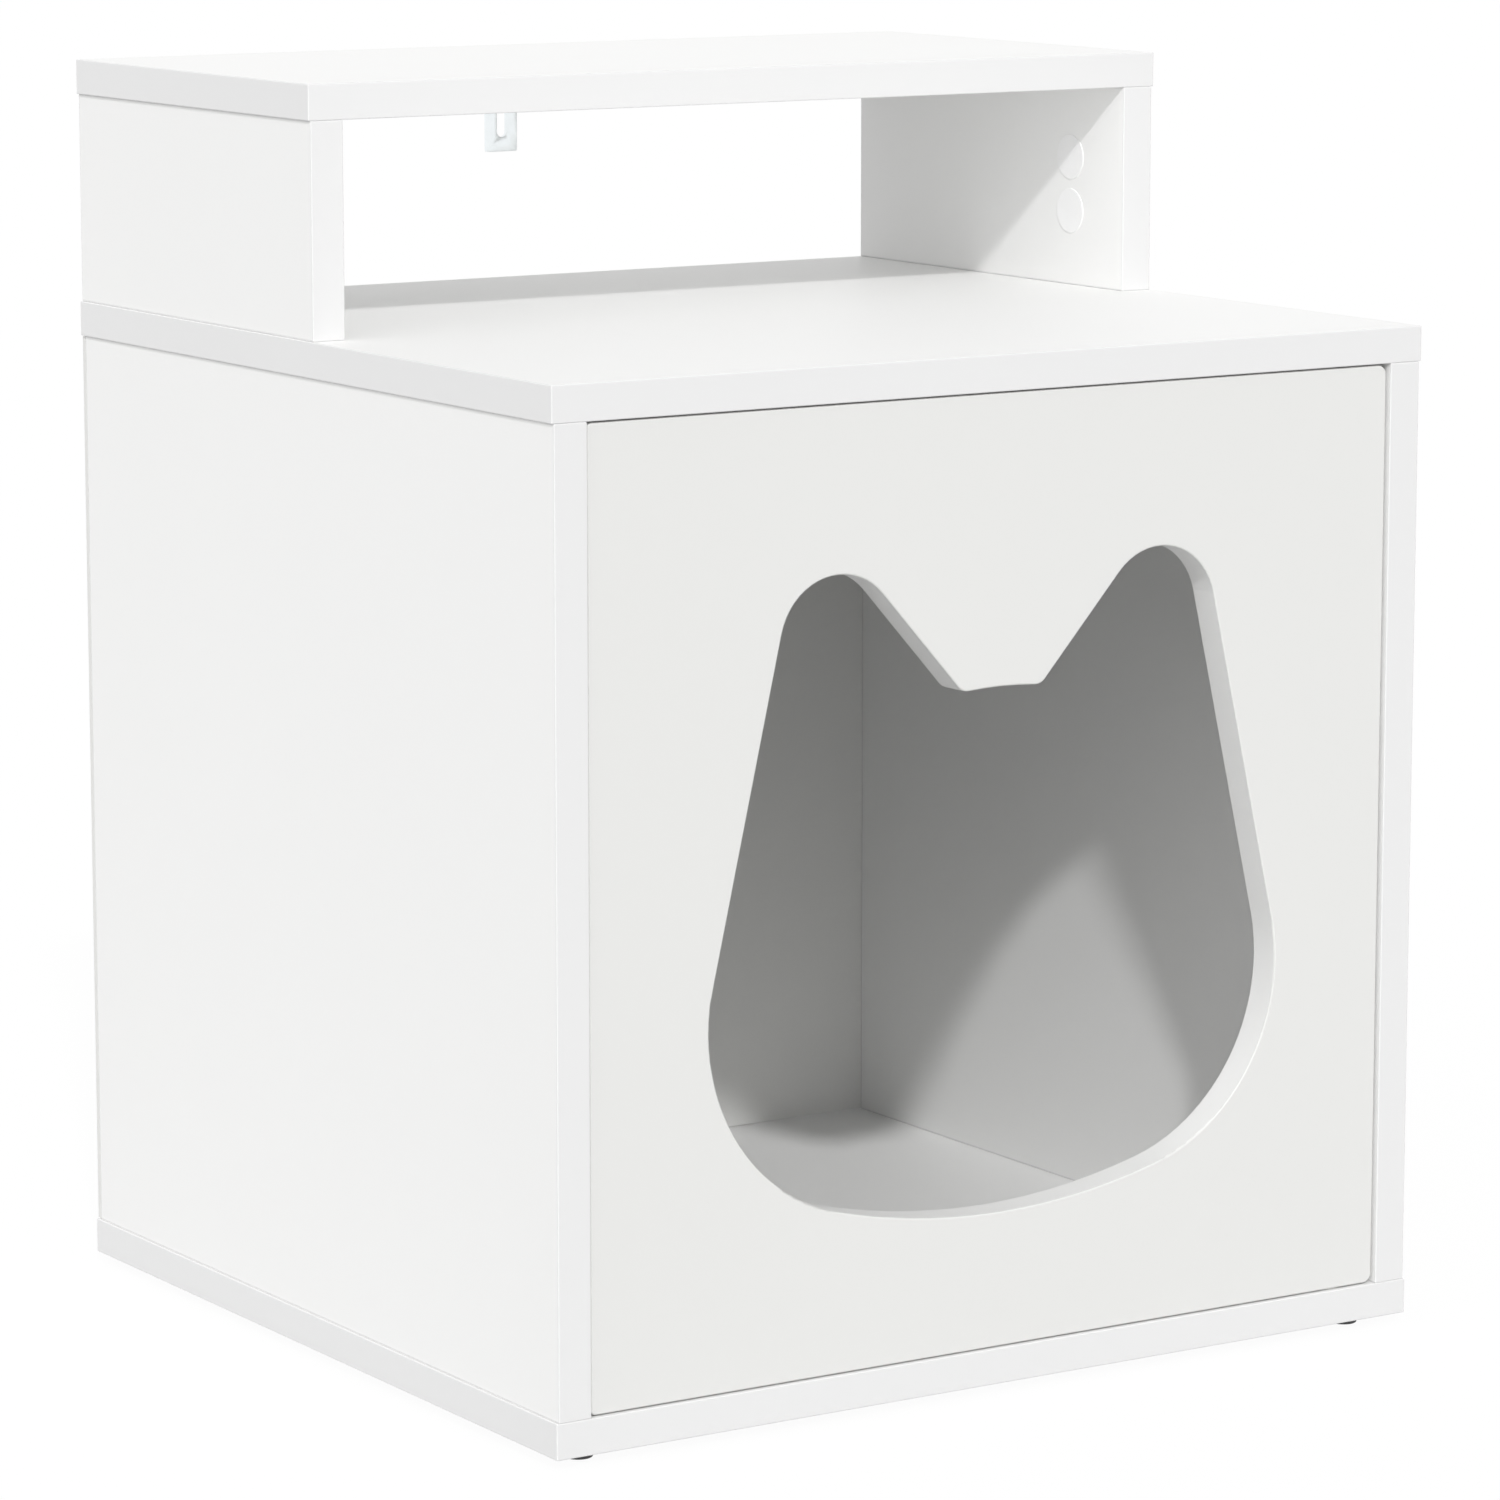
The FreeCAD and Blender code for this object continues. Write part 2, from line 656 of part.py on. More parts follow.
def build_catch(boards, door):
    """A magnet between two steel poles in a plastic case, and the plate that it holds."""
    def centred(middle, length):
        return (f"{middle} - {length} / 2", f"{middle} + {length} / 2")

    case = new_body("catch_case")
    depth = ("catch_front", "catch_front + catch_depth")
    block(case, "PartDesign::AdditiveBox", centred("catch_x", "catch_body_length"), depth,
          ("catch_bottom", "cabin_top"))
    block(case, "PartDesign::AdditiveBox", centred("catch_x", "catch_length"), depth,
          ("cabin_top - catch_ear_height", "cabin_top"))
    seat = centred("catch_x", "magnet_length")
    poles = []
    core_top = "magnet_bottom + magnet_height"
    pole_depth = ("pole_front", "catch_front + magnet_recess + magnet_depth")
    core_depth = ("catch_front + magnet_recess", pole_depth[1])
    pole_spans = (("magnet_bottom - pole_thickness", "magnet_bottom"),
                  (core_top, f"{core_top} + pole_thickness"))
    block(case, "PartDesign::SubtractiveBox", seat, ("catch_front", pole_depth[1]),
          (pole_spans[0][0], pole_spans[1][1]))
    for span in pole_spans:
        poles.append(block(doc, "Part::Box", seat, pole_depth, span))
    magnet = block(doc, "Part::Box", seat, core_depth, ("magnet_bottom", core_top))
    group("catch_pole_plates", poles)
    finish(magnet, "catch_magnet")

    screws = []
    for sign in SIDES.values():
        place = (f"catch_x + {sign} * catch_screw_pitch / 2", "catch_front + catch_depth / 2",
                 "cabin_top - catch_ear_height")
        screw_hole(case, place, "+z", "catch_screw")
        screw_hole(boards["top"], place, "+z", "catch_screw")
        screws.append(pan_head_screw(place, "+z", "catch_screw"))
    group("catch_screws", screws)

    strike = new_body("strike_plate")
    strike_back = "door_back + strike_thickness"
    block(strike, "PartDesign::AdditiveBox", centred("catch_x", "strike_length"),
          ("door_back", strike_back), centred("magnet_middle", "strike_height"))
    place = ("catch_x", strike_back, "magnet_middle")
    for body in (strike, door):
        countersink(body, place, "-y", "strike_screw")
    finish(countersunk_screw(place, "-y", "strike_screw"), "strike_screw")


def write_parts():
    doc.recompute()
    for item in doc.Objects:
        if "Invalid" in item.State or "Error" in item.State:
            raise RuntimeError(f"{item.Label}: {item.State}")
    for node in nodes:
        if node.Shape.isNull() or not node.Shape.isValid() or not node.Shape.Solids:
            raise RuntimeError(f"{node.Label} has no valid solid")
    os.makedirs("parts", exist_ok=True)
    for node in nodes:
        node.Shape.exportStep(f"parts/{node.Label}.step")


fill_sheet()
boards = build_boards()
door = build_door()
build_cabinet_joints(boards)
build_upright_joints(boards)
build_back_screws(boards)
build_feet(boards)
build_pivots(boards, door)
build_wall_bracket(boards)
build_catch(boards, door)
write_parts()
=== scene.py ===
import math

import bmesh
import bpy
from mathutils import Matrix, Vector


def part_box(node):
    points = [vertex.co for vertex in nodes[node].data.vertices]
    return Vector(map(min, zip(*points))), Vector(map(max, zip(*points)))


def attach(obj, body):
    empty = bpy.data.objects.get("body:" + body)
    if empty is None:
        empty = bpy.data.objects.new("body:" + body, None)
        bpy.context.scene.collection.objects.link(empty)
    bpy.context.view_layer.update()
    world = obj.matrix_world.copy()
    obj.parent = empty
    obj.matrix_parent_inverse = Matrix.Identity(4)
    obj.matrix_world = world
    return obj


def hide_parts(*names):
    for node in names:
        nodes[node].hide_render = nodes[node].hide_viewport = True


# The looks of a white cat house: faced boards with banded edges, a lacquered door with a
# cat-head entrance, and the small hardware that holds them together. Metres, X to the right,
# Y to the back, Z up.

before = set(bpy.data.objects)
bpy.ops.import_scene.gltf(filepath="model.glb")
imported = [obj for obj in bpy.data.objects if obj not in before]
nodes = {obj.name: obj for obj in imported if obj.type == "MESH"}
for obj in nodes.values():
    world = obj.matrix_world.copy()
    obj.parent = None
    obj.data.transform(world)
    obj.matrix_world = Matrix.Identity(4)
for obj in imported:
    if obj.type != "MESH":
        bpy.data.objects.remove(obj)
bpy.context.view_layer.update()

MM = 0.001
# How near counts as touching, how squarely counts as facing, and where an edge counts as sharp
NEAR = 0.01 * MM
SQUARELY = 0.9
SHARP = math.radians(35)
# Sides of a small round part
SIDES = 40
WHITE = (1.0, 1.0, 1.0, 1.0)

# Colours as linear reflectance
FACE_WHITE = (0.905, 0.905, 0.898)
# The bands are darker than the faces as painted shade: it dims the board edges that face the lamp.
BAND_WHITE_PAINTED_SHADE = (0.793, 0.793, 0.793)
# The door's lacquer is a little greyer than the boards, and darker still as painted shade on its
# face, which faces the lamp.
DOOR_GREY_AND_PAINTED_SHADE = (0.770, 0.770, 0.755)
# Painted light: the entrance's wall and the door's outer edges are whiter to stand for the light
# that falls on them from the front left.
DOOR_WALL_PAINTED_LIGHT = (0.965, 0.965, 0.955)
# The back panel is a greyer fibreboard, and darker still as painted shade for the inside of the
# cabin.
HARDBOARD_GREY_AND_PAINTED_SHADE = (0.775, 0.775, 0.760)
SEAM_GREY = (0.70, 0.70, 0.68)
COVER_WHITE = (0.950, 0.950, 0.952)
CATCH_WHITE = (0.800, 0.800, 0.775)
BRIGHT_ZINC = (0.780, 0.805, 0.840)
PLATE_ZINC = (0.930, 0.970, 0.985)
CAST_ZINC = (0.560, 0.570, 0.585)
FOOT_GREY = (0.100, 0.100, 0.104)
NYLON_WHITE = (0.800, 0.800, 0.760)
FERRITE_GREY = (0.045, 0.043, 0.042)
BEECH_PALE = (0.610, 0.400, 0.230)
BEECH_DARK = (0.430, 0.250, 0.125)

# Boards, with the axis that each is thin along
BOARDS = {
    "bottom_board": "z",
    "top_board": "z",
    "upper_shelf": "z",
    "left_side_panel": "x",
    "right_side_panel": "x",
    "left_upright": "x",
    "right_upright": "x",
}
BAND_THICKNESS = 0.6 * MM
SEAM_WIDTH = 0.15 * MM
# Where the door's rounded edge gives way to its wall, from and to; the wall's painted light rises
# between them
DOOR_ROUND = (0.5 * MM, 1.1 * MM)
# Wires of the screen that the back panel was pressed on
SCREEN_PITCH = 1.6 * MM

# Cam covers
COVER_RADIUS = 10 * MM
COVER_HEIGHT = 0.35 * MM
COVER_RIM = 1.2 * MM
COVER_DISH = 0.04 * MM
COVER_ROUND = 0.25 * MM
COVER_SIDES = 72

# Screws: shank radius, length, head, the way the head faces, and the count along X, Y and Z
SCREWS = {
    "base_screws": (2.0 * MM, 50 * MM, "countersunk", "-z", (2, 2, 1)),
    "back_panel_screws": (1.4 * MM, 16 * MM, "countersunk", "+y", (2, 1, 3)),
    "strike_screw": (1.2 * MM, 10 * MM, "countersunk", "+y", (1, 1, 1)),
    "bracket_screws": (1.75 * MM, 12 * MM, "pan", "-z", (1, 2, 1)),
    "catch_screws": (1.5 * MM, 12 * MM, "pan", "-z", (2, 1, 1)),
}
# Screw proportions, in shank radii
HEAD_RADIUS = 2.0
PAN_HEIGHT = 1.2
PAN_TOP_RADIUS = 1.4
PAN_ROUND = 0.4
POINT_LENGTH = 2.2
POINT_TIP = 0.12
THREAD_PITCH = 0.95
THREAD_ROOT = 0.72
RECESS_REACH = 1.1
RECESS_WIDTH = 0.42
RECESS_DEPTH = 0.8
# Share of its width that the recess keeps at its foot, and rings of points in one turn of thread
RECESS_TAPER = 0.4
THREAD_RINGS = 6

WAYS = {
    "-x": Vector((-1, 0, 0)),
    "+x": Vector((1, 0, 0)),
    "+y": Vector((0, 1, 0)),
    "+z": Vector((0, 0, 1)),
    "-z": Vector((0, 0, -1)),
}

# Feet
FOOT_RADIUS = 6 * MM
FOOT_RECESS_RADIUS = 2.25 * MM
FOOT_RECESS_DEPTH = 2 * MM
FOOT_NAIL_HOLE = 1.05 * MM
FOOT_CHAMFER = 0.8 * MM
FOOT_EDGE = 0.12 * MM
FOOT_SIDES = 64

# Wall bracket
BRACKET_PLATE = 2 * MM
BRACKET_BEND = 2 * MM
BRACKET_BEND_STEPS = 8
BRACKET_CORNER = 1 * MM
BRACKET_SLOT = (5 * MM, 16 * MM)
BRACKET_SLOT_RISE = 6.5 * MM
# Share of the slot's width that rounds each of its corners, just short of meeting
BRACKET_SLOT_ROUND = 0.499
BRACKET_EDGE = 0.2 * MM

# Magnetic catch
CATCH_BODY_LENGTH = 22 * MM
CATCH_EAR_HEIGHT = 2.5 * MM
CATCH_EAR_ROUND = 3 * MM
CATCH_EDGE = 0.4 * MM
CATCH_MOUTH = 1 * MM
STRIKE_ROUND = 2 * MM
STRIKE_EDGE = 0.15 * MM
HOLE_CLEARANCE = 0.05 * MM

# Light and camera
ROOM_LIGHT = 0.40
# The way to each broad screen, how narrow its light is, and its strength
SCREENS = (
    (Vector((-0.721, -0.421, 0.551)), 8, 1.05),
    (Vector((-0.862, -0.498, 0.100)), 2, 0.46),
    (Vector((0.000, 0.000, 1.000)), 1, 0.09),
    (Vector((0.640, 0.768, 0.000)), 2, 0.60),
)
LAMP_STRENGTH = 0.53 * math.pi
LAMP_TRAVEL = Vector((0.47, 1.0, -0.80))
LAMP_ANGLE = math.radians(3)
FLOOR_SIZE = 60.0
FLOOR_GREY = 0.60
FLOOR_SEEN = 1.0
FLOOR_GLOW = 0.96
CAMERA_PLACE = (-1.4273, -2.2323, 0.6910)
CAMERA_DOWN = math.radians(9.629)
CAMERA_RIGHT = math.radians(32.708)
CAMERA_LENS = 149.05
CAMERA_SENSOR = 36.0
CAMERA_NEAR = 0.05
CAMERA_FAR = 100.0


class Value:
    """A shader socket that takes part in sums."""

    def __init__(self, finish, socket):
        self.finish = finish
        self.socket = socket

    def sum(self, operation, first, second):
        return self.finish.node("ShaderNodeMath", {"operation": operation}, {0: first, 1: second})

    def __add__(self, other):
        return self.sum("ADD", self, other)

    def __sub__(self, other):
        return self.sum("SUBTRACT", self, other)

    def __rsub__(self, other):
        return self.sum("SUBTRACT", other, self)

    def __mul__(self, other):
        return self.sum("MULTIPLY", self, other)

    def __pow__(self, power):
        return self.sum("POWER", self, power)

    __radd__ = __add__
    __rmul__ = __mul__

    def least(self, other):
        return self.sum("MINIMUM", self, other)

    def most(self, other):
        return self.sum("MAXIMUM", self, other)

    def size(self):
        return self.sum("ABSOLUTE", self, 0.0)


class Finish:
    """The shader of a material or of the room, built node by node."""

    def __init__(self, owner):
        self.owner = owner
        owner.use_nodes = True
        self.tree = owner.node_tree
        self.tree.nodes.clear()

    def node(self, kind, settings=None, inputs=None, output=0):
        made = self.tree.nodes.new(kind)
        for setting, choice in (settings or {}).items():
            setattr(made, setting, choice)
        for socket, content in (inputs or {}).items():
            if isinstance(content, Value):
                self.tree.links.new(content.socket, made.inputs[socket])
            else:
                made.inputs[socket].default_value = content
        return Value(self, made.outputs[output]) if made.outputs else None

    def place(self, stretch=None):
        """Object coordinates, squeezed along each axis where a stretch is given."""
        place = self.node("ShaderNodeTexCoord", output="Object")
        if stretch is None:
            return place
        return self.node("ShaderNodeMapping", inputs={"Vector": place, "Scale": stretch})

    def axes(self):
        """The three parts of the object coordinates."""
        sockets = {0: self.place()}
        return [self.node("ShaderNodeSeparateXYZ", inputs=sockets, output=axis) for axis in "XYZ"]

    def noise(self, size, detail=2.0, roughness=0.5, stretch=None):
        """Noise from 0 to 1 whose grains are about this size."""
        place = self.place(stretch)
        inputs = {"Vector": place, "Scale": 1 / size, "Detail": detail, "Roughness": roughness}
        return self.node("ShaderNodeTexNoise", inputs=inputs)

    def step(self, value, start, end):
        """0 up to the start and 1 past the end, with a soft rise between them."""
        settings = {"interpolation_type": "SMOOTHSTEP"}
        inputs = {"Value": value, "From Min": start, "From Max": end}
        return self.node("ShaderNodeMapRange", settings, inputs)

    def tint(self, amount, first, second):
        """A colour between two, by an amount from 0 to 1."""
        colours = [(*c, 1.0) if isinstance(c, tuple) else c for c in (first, second)]
        inputs = {0: amount, 6: colours[0], 7: colours[1]}
        return self.node("ShaderNodeMix", {"data_type": "RGBA"}, inputs, output=2)

    def bump(self, height, depth, strength=1.0):
        inputs = {"Height": height, "Distance": depth, "Strength": strength}
        return self.node("ShaderNodeBump", inputs=inputs)

    def seen_directly(self):
        """1 where the eye, a mirror or glass looks, and 0 for light that falls on things."""
        kinds = ("Is Camera Ray", "Is Glossy Ray", "Is Transmission Ray")
        rays = [self.node("ShaderNodeLightPath", output=kind) for kind in kinds]
        return rays[0].most(rays[1]).most(rays[2])

    def surface(self, **inputs):
        sockets = {name.replace("_", " "): content for name, content in inputs.items()}
        shader = self.node("ShaderNodeBsdfPrincipled", inputs=sockets)
        self.node("ShaderNodeOutputMaterial", inputs={"Surface": shader})
        return self.owner


def new_finish(name):
    return Finish(bpy.data.materials.new(name))


def shade(colour, share):
    return tuple(share * part for part in colour)


def edge_gaps(finish, low, high):
    """How deep a point lies in a box, from the nearer of the two faces on each axis."""
    return [
        (axis - start).least(end - axis)
        for axis, start, end in zip(finish.axes(), low, high)
    ]


def faced_board(name, thin_axis):
    """White melamine on chipboard, pearled, with a band glued round its edges whose darker colour
    is painted shade.
    """
    finish = new_finish(name + "_melamine")
    gaps = edge_gaps(finish, *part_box(name))
    across = [gap for gap, axis in zip(gaps, "xyz") if axis != thin_axis]
    rim = across[0].least(across[1])
    band = 1.0 - finish.step(rim, BAND_THICKNESS, BAND_THICKNESS + SEAM_WIDTH)
    seam = 1.0 - finish.step((rim - BAND_THICKNESS - SEAM_WIDTH).size(), 0.0, SEAM_WIDTH)

    pearl = finish.noise(0.9 * MM, detail=3.0)
    cloud = finish.noise(90 * MM)
    face = finish.tint(cloud * 0.3 + pearl * 0.6, FACE_WHITE, shade(FACE_WHITE, 0.98))
    # Painted shade: the edge bands take a darker white than the faces.
    colour = finish.tint(band, face, BAND_WHITE_PAINTED_SHADE)
    colour = finish.tint(seam * 0.35, colour, SEAM_GREY)
    gloss = 0.40 + pearl * 0.10 + cloud * 0.06 - band * 0.06
    normal = finish.bump(pearl - band * pearl * 0.7, 0.03 * MM, 0.35)
    return finish.surface(Base_Color=colour, Roughness=gloss, Normal=normal)


def lacquered_door():
    """Satin lacquer, a little greyer than the boards and darkened further as painted shade, with
    the entrance's wall and the outer edges a little whiter as painted light.
    """
    finish = new_finish("door_lacquer")
    depth = edge_gaps(finish, *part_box("door_panel"))[1]
    wall = finish.step(depth, *DOOR_ROUND)
    peel = finish.noise(1.6 * MM, detail=2.0)
    cloud = finish.noise(120 * MM)
    # The face is partly the lacquer's own grey and partly painted shade.
    face = finish.tint(cloud * 0.5 + peel * 0.2, DOOR_GREY_AND_PAINTED_SHADE, shade(DOOR_GREY_AND_PAINTED_SHADE, 0.98))
    # Painted light: the wall and outer edges take a whiter colour than the face.
    colour = finish.tint(wall, face, DOOR_WALL_PAINTED_LIGHT)
    gloss = 0.36 + peel * 0.08 + cloud * 0.05
    normal = finish.bump(peel, 0.04 * MM, 0.25)
    return finish.surface(Base_Color=colour, Roughness=gloss, Normal=normal)


def painted_hardboard():
    """Painted fibreboard with a faint print of the screen it was pressed on, its grey partly
    painted shade.
    """
    finish = new_finish("back_hardboard")
    x, _, z = finish.axes()
    fibre = finish.noise(1.2 * MM, detail=4.0)
    wires = [
        finish.node("ShaderNodeMath", {"operation": "SINE"}, {0: axis * (math.tau / SCREEN_PITCH)})
        for axis in (x, z)
    ]
    screen = wires[0] * wires[1]
    # The hardboard's grey is partly its own colour and partly painted shade.
    colour = finish.tint(fibre * 0.6, HARDBOARD_GREY_AND_PAINTED_SHADE, shade(HARDBOARD_GREY_AND_PAINTED_SHADE, 0.96))
    normal = finish.bump(fibre + screen * 0.3, 0.05 * MM, 0.3)
    return finish.surface(Base_Color=colour, Roughness=0.58 + fibre * 0.1, Normal=normal)


def beech():
    """Turned dowel rod, with its grain along the dowel."""
    finish = new_finish("beech_dowel")
    grain = finish.noise(0.7 * MM, detail=4.0, stretch=(1.0, 1.0, 0.06))
    fleck = finish.noise(0.35 * MM, detail=1.0, stretch=(1.0, 1.0, 0.2))
    dark = finish.step(grain * 0.8 + fleck * 0.2, 0.35, 0.65)
    colour = finish.tint(dark, BEECH_PALE, BEECH_DARK)
    normal = finish.bump(grain, 0.06 * MM, 0.5)
    return finish.surface(Base_Color=colour, Roughness=0.62 + dark * 0.12, Normal=normal)


def plated_steel(name, colour, gloss, grain, depth):
    """Zinc plating: bright metal with a cloudy tone and a fine grain."""
    finish = new_finish(name)
    cloud = finish.noise(6 * MM, detail=3.0)
    fine = finish.noise(grain, detail=2.0)
    tone = finish.tint(cloud * 0.7 + fine * 0.3, colour, shade(colour, 0.90))
    roughness = gloss + cloud * 0.10 + fine * 0.06
    normal = finish.bump(fine, depth, 0.4)
    return finish.surface(Base_Color=tone, Metallic=1.0, Roughness=roughness, Normal=normal)


def moulded_plastic(name, colour, gloss, grain, depth):
    """Moulded plastic with the fine texture of its mould and a slightly uneven gloss."""
    finish = new_finish(name)
    spark = finish.noise(grain, detail=3.0, roughness=0.6)
    flow = finish.noise(5 * MM)
    tone = finish.tint(flow * 0.6 + spark * 0.4, colour, shade(colour, 0.94))
    roughness = gloss + spark * 0.12 + flow * 0.06
    normal = finish.bump(spark, depth, 0.5)
    return finish.surface(Base_Color=tone, Roughness=roughness, Normal=normal)


FINISHES = {
    "beech": beech(),
    "zinc_steel": plated_steel("bright_zinc", BRIGHT_ZINC, 0.26, 0.4 * MM, 0.01 * MM),
    "zinc_plate": plated_steel("plate_zinc", PLATE_ZINC, 0.10, 0.5 * MM, 0.004 * MM),
    "zinc_casting": plated_steel("cast_zinc", CAST_ZINC, 0.42, 0.5 * MM, 0.06 * MM),
    "cover_film": moulded_plastic("cover_plastic", COVER_WHITE, 0.45, 0.6 * MM, 0.01 * MM),
    "foot_plastic": moulded_plastic("foot_plastic", FOOT_GREY, 0.44, 0.35 * MM, 0.03 * MM),
    "bushing_plastic": moulded_plastic("bushing_nylon", NYLON_WHITE, 0.38, 0.5 * MM, 0.015 * MM),
    "catch_plastic": moulded_plastic("catch_plastic", CATCH_WHITE, 0.36, 0.4 * MM, 0.03 * MM),
    "ferrite": moulded_plastic("ferrite", FERRITE_GREY, 0.55, 0.25 * MM, 0.04 * MM),
}

# Nodes that keep their own mesh, by finish
KEPT = {
    "beech": ("base_dowels", "cabinet_dowels", "upright_dowels"),
    "zinc_steel": ("cabinet_cam_bolts", "upright_cam_bolts", "foot_nails", "pivot_pins"),
    "zinc_plate": ("catch_pole_plates",),
    "zinc_casting": ("cabinet_cams", "upright_cams"),
    "bushing_plastic": ("pivot_bushings",),
    "ferrite": ("catch_magnet",),
}


def dress(name, material):
    slots = nodes[name].data.materials
    slots.clear()
    slots.append(material)


def select_only(piece):
    bpy.ops.object.select_all(action="DESELECT")
    piece.select_set(True)
    bpy.context.view_layer.objects.active = piece


def start(primitive, **sizes):
    """A primitive at its size and place, alone on the bench."""
    bpy.ops.object.select_all(action="DESELECT")
    primitive(**sizes)
    bpy.ops.object.transform_apply(location=True, rotation=True, scale=True)
    return bpy.context.active_object


def start_block(low, high):
    """A block between two corners."""
    size = [end - begin for begin, end in zip(low, high)]
    middle = [(begin + end) / 2 for begin, end in zip(low, high)]
    return start(bpy.ops.mesh.primitive_cube_add, size=1.0, location=middle, scale=size)


def pick(piece, kind, wanted):
    """In edit mode, selects the faces, edges or points that are wanted, and nothing else."""
    if bpy.context.mode != "EDIT_MESH":
        select_only(piece)
        bpy.ops.object.mode_set(mode="EDIT")
    bpy.ops.mesh.select_mode(type=kind)
    bpy.ops.mesh.select_all(action="DESELECT")
    mesh = bmesh.from_edit_mesh(piece.data)
    for part in {"FACE": mesh.faces, "EDGE": mesh.edges, "VERT": mesh.verts}[kind]:
        if wanted(part):
            part.select_set(True)
    mesh.select_flush_mode()
    bmesh.update_edit_mesh(piece.data)


def put_down():
    bpy.ops.object.mode_set(mode="OBJECT")


def extrude(*move):
    bpy.ops.mesh.extrude_region_move(TRANSFORM_OT_translate={"value": move})


def middle_of(edge):
    return (edge.verts[0].co + edge.verts[1].co) / 2


def runs_along(edge, axis):
    """Whether an edge lies along an axis, given as 0, 1 or 2."""
    run = edge.verts[1].co - edge.verts[0].co
    return abs(run[axis]) > 0.99 * run.length


def cut_out(piece, tool):
    """Takes the tool's shape out of the piece, and clears the tool away."""
    select_only(piece)
    cutter = piece.modifiers.new("cut", "BOOLEAN")
    cutter.operation = "DIFFERENCE"
    cutter.solver = "EXACT"
    cutter.object = tool
    bpy.ops.object.modifier_apply(modifier=cutter.name)
    bpy.data.objects.remove(tool)


def soften(piece, width, segments=2):
    """Rounds every sharp edge a little and smooths what is meant to look round."""
    select_only(piece)
    bevel = piece.modifiers.new("soften", "BEVEL")
    bevel.width = width
    bevel.segments = segments
    bevel.limit_method = "ANGLE"
    bevel.angle_limit = SHARP
    bpy.ops.object.modifier_apply(modifier=bevel.name)
    smooth(piece)


def smooth(piece):
    select_only(piece)
    bpy.ops.object.shade_smooth_by_angle(angle=SHARP)


def hole_tool(spot, radius, length, axis="z"):
    """A round bit through a spot, along an axis."""
    turn = {"z": (0.0, 0.0, 0.0), "y": (math.pi / 2, 0.0, 0.0)}[axis]
    return start(bpy.ops.mesh.primitive_cylinder_add, vertices=SIDES, radius=radius, depth=length,
                 location=spot, rotation=turn)


def fit(piece, name, node, slot, body="cabinet"):
    """Names a finished piece, gives it its finish and its body, and hides the node it stands for.
    """
    piece.name = name
    piece.data.name = name
    piece.data.materials.clear()
    piece.data.materials.append(FINISHES[slot])
    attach(piece, body)
    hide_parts(node)


def fit_copies(model, name, places, node, slot, body="cabinet"):
    """Sets out copies of one model, each with its own mesh, at places that face given ways."""
    for number, (spot, facing) in enumerate(places, start=1):
        copy = model.copy()
        copy.data = model.data.copy()
        bpy.context.scene.collection.objects.link(copy)
        copy.location = spot
        copy.rotation_euler = facing.to_track_quat("Z", "Y").to_euler()
        select_only(copy)
        bpy.ops.object.transform_apply(location=True, rotation=True, scale=True)
        fit(copy, f"{name}_{number}", node, slot, body)
    bpy.data.objects.remove(model)


def spots(node, counts, reach):
    """The middles of a node's equal pieces, counted along X, Y and Z, each of that reach."""
    rows = []
    for low, high, count, inset in zip(*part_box(node), counts, reach):
        if count == 1:
            rows.append([(low + high) / 2])
            continue
        first, last = low + inset, high - inset
        rows.append([first + (last - first) * step / (count - 1) for step in range(count)])
    return [Vector((x, y, z)) for x in rows[0] for y in rows[1] for z in rows[2]]


def cam_cover():
    """A thin round cap that stands on the origin: a rounded rim about a dished face."""
    cap = start(bpy.ops.mesh.primitive_cylinder_add, vertices=COVER_SIDES, radius=COVER_RADIUS,
                depth=COVER_HEIGHT, location=(0, 0, COVER_HEIGHT / 2))
    pick(cap, "FACE", lambda face: face.normal.z > SQUARELY)
    bpy.ops.mesh.inset(thickness=COVER_RIM)
    bpy.ops.transform.translate(value=(0, 0, -COVER_DISH))
    bpy.ops.mesh.inset(thickness=COVER_RADIUS / 2)
    pick(cap, "EDGE", lambda edge: middle_of(edge).z > COVER_HEIGHT - NEAR
         and abs(middle_of(edge).length - COVER_RADIUS) < COVER_RIM / 2)
    bpy.ops.mesh.bevel(offset=COVER_ROUND, segments=4, affect="EDGES")
    put_down()
    smooth(cap)
    return cap


def fit_cam_covers():
    for node, counts in (("upright_cam_covers", (2, 1, 2)), ("cabinet_cam_covers", (2, 2, 1))):
        places = [
            (spot, WAYS["-x"] if spot.x > 0 else WAYS["+x"])
            for spot in spots(node, counts, (0.0, COVER_RADIUS, COVER_RADIUS))
        ]
        fit_copies(cam_cover(), node[:-1], places, node, "cover_film")


def cross_bit(radius, height):
    """A tapered cross that cuts the driver's recess in a head whose top is at a height."""
    width = RECESS_WIDTH * radius
    bit = start(bpy.ops.mesh.primitive_cube_add, size=width)
    pick(bit, "FACE", lambda face: abs(face.normal.z) < 0.5)
    arm = RECESS_REACH * radius - width / 2
    bpy.ops.mesh.extrude_faces_move(TRANSFORM_OT_shrink_fatten={"value": arm})
    pick(bit, "VERT", lambda point: point.co.z < 0)
    bpy.ops.transform.resize(value=(RECESS_TAPER, RECESS_TAPER, 1.0), center_override=(0, 0, 0))
    bpy.ops.mesh.select_all(action="SELECT")
    stretch = 2 * RECESS_DEPTH * radius / width
    bpy.ops.transform.resize(value=(1.0, 1.0, stretch), center_override=(0, 0, 0))
    bpy.ops.transform.translate(value=(0, 0, height))
    bpy.ops.mesh.normals_make_consistent(inside=False)
    put_down()
    return bit


def countersunk_head(radius):
    """A countersunk head whose top lies at the origin, facing up."""
    return start(bpy.ops.mesh.primitive_cone_add, vertices=SIDES, radius1=radius,
                 radius2=HEAD_RADIUS * radius, depth=radius, location=(0, 0, -radius / 2))


